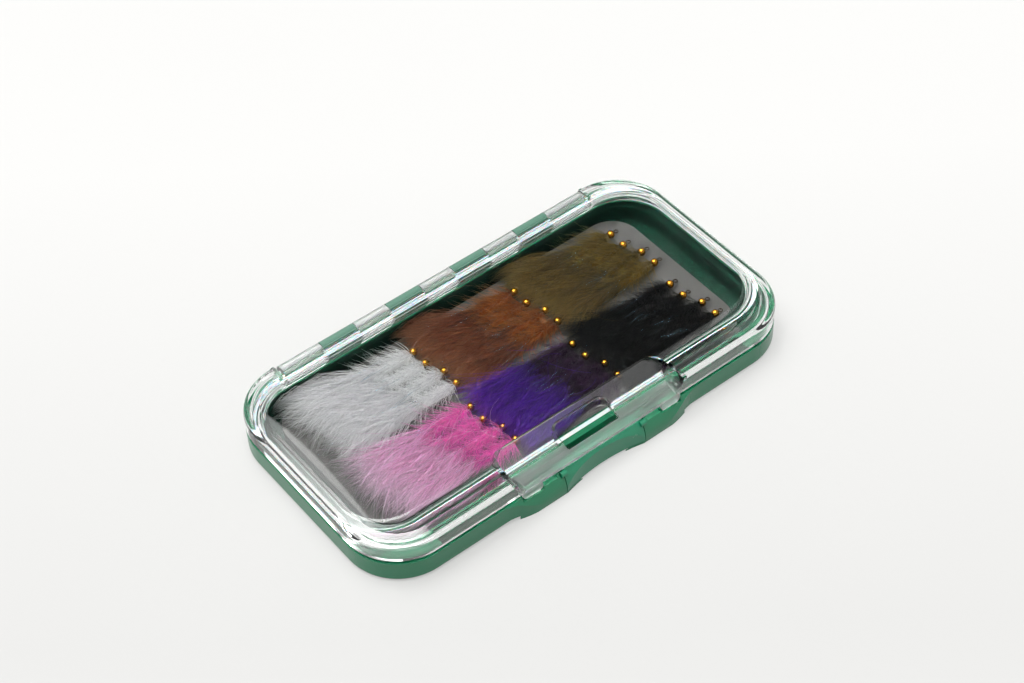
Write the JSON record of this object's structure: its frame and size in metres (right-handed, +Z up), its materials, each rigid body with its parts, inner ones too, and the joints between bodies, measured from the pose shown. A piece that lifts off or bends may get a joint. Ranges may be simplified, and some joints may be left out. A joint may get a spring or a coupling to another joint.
{
  "type": "fly box",
  "caption": "Slim fly box: green base with seal and slotted insert of bead-head streamers, clear lid on a long pin hinge, sprung push latch.",
  "frame": {"origin": "centre of the underside, on the surface that the closed box rests on", "axes": "+Z up through the lid, +X along the hinge, +Y towards the hinge, so the latch is at -Y"},
  "size_m": [0.19, 0.1026, 0.0186],
  "materials": {
    "green_moulding": "satin moulded",
    "push_tab": "satin moulded",
    "clear_moulding": "polished clear plastic",
    "silicone": "translucent silicone",
    "steel": "drawn wire",
    "insert_sheet": "matte slotted sheet",
    "adhesive": "double-sided sheet",
    "hook_wire": "bronzed wire",
    "gold_bead": "polished",
    "white_hackle": "wound hackle",
    "white_plume": "soft fibre plume",
    "rust_hackle": "wound hackle",
    "rust_plume": "soft fibre plume",
    "olive_hackle": "wound hackle",
    "olive_plume": "soft fibre plume",
    "pink_hackle": "wound hackle",
    "pink_plume": "soft fibre plume",
    "purple_hackle": "wound hackle",
    "purple_plume": "soft fibre plume",
    "black_hackle": "wound hackle",
    "black_plume": "soft fibre plume"
  },
  "bodies": {
    "case": {"base_tray": "green_moulding", "rim_seal": "silicone", "hinge_pin": "steel", "latch_springs": "steel", "insert": "insert_sheet", "insert_tape": "adhesive", "white_hooks": "hook_wire", "white_beads": "gold_bead", "white_bodies": "white_hackle", "white_tails": "white_plume", "rust_hooks": "hook_wire", "rust_beads": "gold_bead", "rust_bodies": "rust_hackle", "rust_tails": "rust_plume", "olive_hooks": "hook_wire", "olive_beads": "gold_bead", "olive_bodies": "olive_hackle", "olive_tails": "olive_plume", "pink_hooks": "hook_wire", "pink_beads": "gold_bead", "pink_bodies": "pink_hackle", "pink_tails": "pink_plume", "purple_hooks": "hook_wire", "purple_beads": "gold_bead", "purple_bodies": "purple_hackle", "purple_tails": "purple_plume", "black_hooks": "hook_wire", "black_beads": "gold_bead", "black_bodies": "black_hackle", "black_tails": "black_plume"},
    "lid": {"lid": "clear_moulding"},
    "latch": {"push_latch": "push_tab"}
  },
  "joints": [
    {"name": "lid_hinge", "type": "hinge", "parent": "case", "child": "lid", "pos_m": [0, 0.047, 0.0158], "axis": [-1, 0, 0], "range_deg": [0, 180]},
    {"name": "latch_push", "type": "slide", "parent": "case", "child": "latch", "axis": [0, 1, 0], "range_m": [0, 0.0012], "stiffness_N_per_m": 800, "springref_m": -0.0012, "deforming": ["latch_springs"]}
  ]
}
